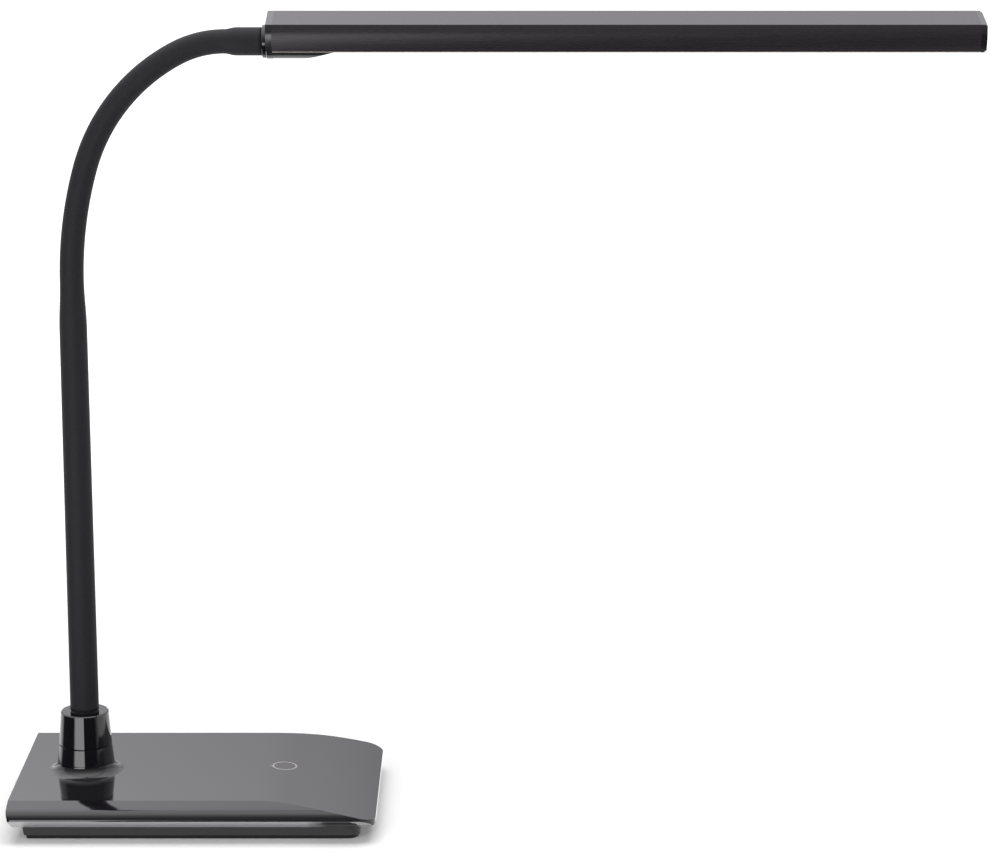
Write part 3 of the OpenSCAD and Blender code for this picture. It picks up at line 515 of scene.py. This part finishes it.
def quarter_bend(centre, radius, side, steps):
    """The lead's stations round a quarter turn that ends upright, left (-1) or right (1) of it."""
    stations = []
    for i in range(steps + 1):
        turned = side * math.radians(90 - 90 * i / steps)
        outward = Vector((math.cos(turned), 0, -math.sin(turned)))
        stations.append((centre + side * radius * outward, turned, LEAD_R))
    return stations


def bend_piece(piece, k):
    """Bakes the piece's place into its mesh; marks at the middles of links k - 1 and k go unused.
    """
    marks = [(bodies[j], on_path(middles[j])[0] * MM) for j in (k - 1, k)]
    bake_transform(piece)


foot = sweep("sleeve_foot", sleeve_stations(0, middles[0], open_start=True), body="base")
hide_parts("sleeve_00")

elbow = Vector((NECK_X + ELBOW_R, 0, LEAD_Z + ELBOW_R))
elbow_end = LEAD_Z + ELBOW_R + ELBOW_RUN_OUT - SLEEVE_START
lead_foot = sweep(
    "lead_foot",
    [(Vector((LEAD_START_X, 0, LEAD_Z)), -math.pi / 2, LEAD_R)]
    + quarter_bend(elbow, ELBOW_R, -1, ELBOW_STEPS)
    + lead_stations(elbow_end, middles[0], FOOT_STEP),
    LEAD_SIDES,
    "base",
)
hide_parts("led_lead")

for k in range(1, len(lengths)):
    low, high = middles[k - 1], middles[k]
    skin = sweep(f"sleeve_bend_{k:02d}", sleeve_stations(low, high))
    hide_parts(f"sleeve_{k:02d}")
    bend_piece(skin, k)
    bend_piece(sweep(f"lead_bend_{k:02d}", lead_stations(low, high, BEND_STEP), LEAD_SIDES), k)
sweep("sleeve_end", sleeve_stations(middles[-1], TOTAL, open_end=True), body=bodies[-1])
sweep("lead_end", lead_stations(middles[-1], TOTAL), LEAD_SIDES, bodies[-1])

# In the head the lead runs along the bar and rises to the LED board, square to the rolled bar
neck_end = on_path(TOTAL)[0]
rise = neck_end + Vector((LEAD_RISE_X, 0, LEAD_BEND_R))
board = neck_end + Vector((LEAD_RISE_X + LEAD_BEND_R, 0, LEAD_TOP))
lead_head = sweep(
    "lead_head",
    [(neck_end + Vector((HEAD_GAP, 0, 0)), math.pi / 2, LEAD_R)]
    + quarter_bend(rise, LEAD_BEND_R, 1, RISE_STEPS)
    + [(board, 0.0, LEAD_R)],
    LEAD_SIDES,
)
lead_head.data.transform(
    Matrix.Translation(neck_end * MM)
    @ Matrix.Rotation(math.radians(BAR_ROLL), 4, "X")
    @ Matrix.Translation(-neck_end * MM)
)
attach(lead_head, "head")


# ---------- touch mark ----------


def on_base(x, y):
    """A point of the mark's ink: level with the base's top, which droops to the right."""
    z = BASE_TOP
    if x >= DROOP_X:
        z += math.sqrt(DROOP_R**2 - (x - DROOP_X) ** 2) - DROOP_R
    return x, y, z + MARK_PROUD


def touch_mark():
    """Printed ring with a short tick on its left."""
    points = []
    for radius in (TOUCH_R - TOUCH_LINE / 2, TOUCH_R + TOUCH_LINE / 2):
        for j in range(MARK_SIDES):
            a = 2 * math.pi * j / MARK_SIDES
            points.append(on_base(TOUCH[0] + radius * math.cos(a), TOUCH[1] + radius * math.sin(a)))
    faces = rings_to_faces(2, MARK_SIDES)
    faces.append(tuple(range(len(points), len(points) + 4)))
    root = TOUCH[0] - TOUCH_R
    tip = root - TICK_LENGTH
    for x, dy in ((root, -TICK_ROOT), (root, TICK_ROOT), (tip, TICK_TIP), (tip, -TICK_TIP)):
        points.append(on_base(x, TOUCH[1] + dy))
    mesh_piece("touch_mark", points, faces, silver_ink, "base", smooth=False)


touch_mark()


# ---------- studio ----------


def camera():
    """The photograph's viewpoint, level from side to side and pitched down."""
    data = bpy.data.cameras.new("camera")
    data.sensor_width = SENSOR
    data.lens = FOCAL_PX * SENSOR / PICTURE_WIDTH
    data.clip_end = 50
    made = bpy.data.objects.new("camera", data)
    made.matrix_world = Matrix.Translation(Vector(CAMERA_PLACE) * MM) @ Matrix.Rotation(
        math.radians(90 - CAMERA_PITCH), 4, "X"
    )
    bpy.context.scene.collection.objects.link(made)
    bpy.context.scene.camera = made


def area_light(name, place, aim, size, power):
    """A soft rectangular light that reflections don't show."""
    data = bpy.data.lights.new(name, "AREA")
    data.shape = "RECTANGLE"
    data.size, data.size_y = size
    data.energy = power
    made = bpy.data.objects.new(name, data)
    made.location = place
    made.rotation_euler = (Vector(aim) - Vector(place)).to_track_quat("-Z", "Y").to_euler()
    made.visible_glossy = False
    bpy.context.scene.collection.objects.link(made)


def floor_pattern(tree, spot):
    """How bright the floor is in reflections.

    It is pale round the base and far to both sides, dim in front, and has one bright patch in
    front, left of the neck.
    """
    forward = shift(tree, spot["Y"], -1)
    bearing = node(tree, "ShaderNodeMath", operation="ARCTAN2")
    tree.links.new(shift(tree, spot["X"], 1, -NECK_X * MM), bearing.inputs[0])
    tree.links.new(forward, bearing.inputs[1])
    right_of = bearing.outputs[0]
    left_of = shift(tree, right_of, -1)

    def sector(source, edge):
        return blend_steps(tree, source, math.radians(edge[0]), math.radians(edge[1]))

    patch = combine(
        tree,
        "MULTIPLY",
        sector(right_of, PATCH_LEFT),
        sector(left_of, PATCH_RIGHT),
        blend_steps(tree, forward, *PATCH_FRONT),
    )
    round_base = combine(
        tree,
        "MULTIPLY",
        blend_steps(tree, spot["Y"], *PALE_FRONT),
        blend_steps(tree, spot["X"], *PALE_SIDE),
    )
    pale = combine(
        tree, "MAXIMUM", sector(right_of, PALE_RIGHT), sector(left_of, PALE_LEFT), round_base
    )
    plain = shift(tree, pale, FLOOR_GLOW - FLOOR_DIM, FLOOR_DIM)
    return combine(tree, "ADD", shift(tree, patch, PATCH_GLOW), plain)


def floor():
    """Pale floor: its own light lifts it to white for the camera, and it keeps the shadow."""
    mat, tree, shader = material("floor")
    shader.inputs["Roughness"].default_value = 0.9
    shader.inputs["Specular IOR Level"].default_value = 0.0
    shader.inputs["Emission Color"].default_value = (1, 1, 1, 1)
    path = node(tree, "ShaderNodeLightPath")
    place = node(tree, "ShaderNodeTexCoord")
    away = node(tree, "ShaderNodeVectorMath", operation="LENGTH")
    tree.links.new(place.outputs["Object"], away.inputs[0])
    lift = ramp(tree, shift(tree, away.outputs["Value"], 1 / FLOOR_REACH), FLOOR_LIFT)
    seen = combine(tree, "MULTIPLY", lift, path.outputs["Is Camera Ray"])
    pattern = floor_pattern(tree, axes(tree, place.outputs["Object"]))
    mirrored = combine(tree, "MULTIPLY", pattern, path.outputs["Is Glossy Ray"])
    tree.links.new(combine(tree, "ADD", seen, mirrored), shader.inputs["Emission Strength"])
    body = join(tree, FLOOR_GREY, FLOOR_DARK, path.outputs["Is Glossy Ray"])
    tree.links.new(body, shader.inputs["Base Color"])
    half = FLOOR_REACH / MM
    corners = [(x * half, y * half, FLOOR_Z) for x, y in ((-1, -1), (1, -1), (1, 1), (-1, 1))]
    mesh_piece("floor", corners, [(0, 1, 2, 3)], mat)


def world():
    """White to the camera, and a plain grey fill for matt surfaces.

    In reflections the room is pale behind the lamp and dim in front, and brightens upwards.
    """
    made = bpy.data.worlds.new("studio")
    bpy.context.scene.world = made
    made.use_nodes = True
    tree = made.node_tree
    path = node(tree, "ShaderNodeLightPath")
    place = node(tree, "ShaderNodeTexCoord")
    way = axes(tree, place.outputs["Generated"])
    scale = node(
        tree,
        "ShaderNodeMapRange",
        {
            "From Min": ROOM_SIDE[0],
            "From Max": ROOM_SIDE[1],
            "To Min": ROOM_SCALE[0],
            "To Max": ROOM_SCALE[1],
        },
    )
    tree.links.new(way["X"], scale.inputs["Value"])
    behind = node(tree, "ShaderNodeVectorMath", operation="SCALE")
    tree.links.new(ramp(tree, way["Z"], BEHIND), behind.inputs[0])
    tree.links.new(scale.outputs["Result"], behind.inputs["Scale"])
    before = ramp(tree, way["Z"], BEFORE)
    turn = blend_steps(tree, way["Y"], *ROOM_TURN)
    room = join(tree, before, behind.outputs["Vector"], turn)
    fill = (FILL / SKY, FILL / SKY, FILL / SKY, 1)
    white = (1 / SKY, 1 / SKY, 1 / SKY, 1)
    lit = join(tree, fill, room, path.outputs["Is Glossy Ray"])
    back = tree.nodes["Background"]
    tree.links.new(join(tree, lit, white, path.outputs["Is Camera Ray"]), back.inputs["Color"])
    back.inputs["Strength"].default_value = SKY


camera()
floor()
world()
for light in LIGHTS:
    area_light(*light)
bpy.context.scene.view_settings.view_transform = "Standard"
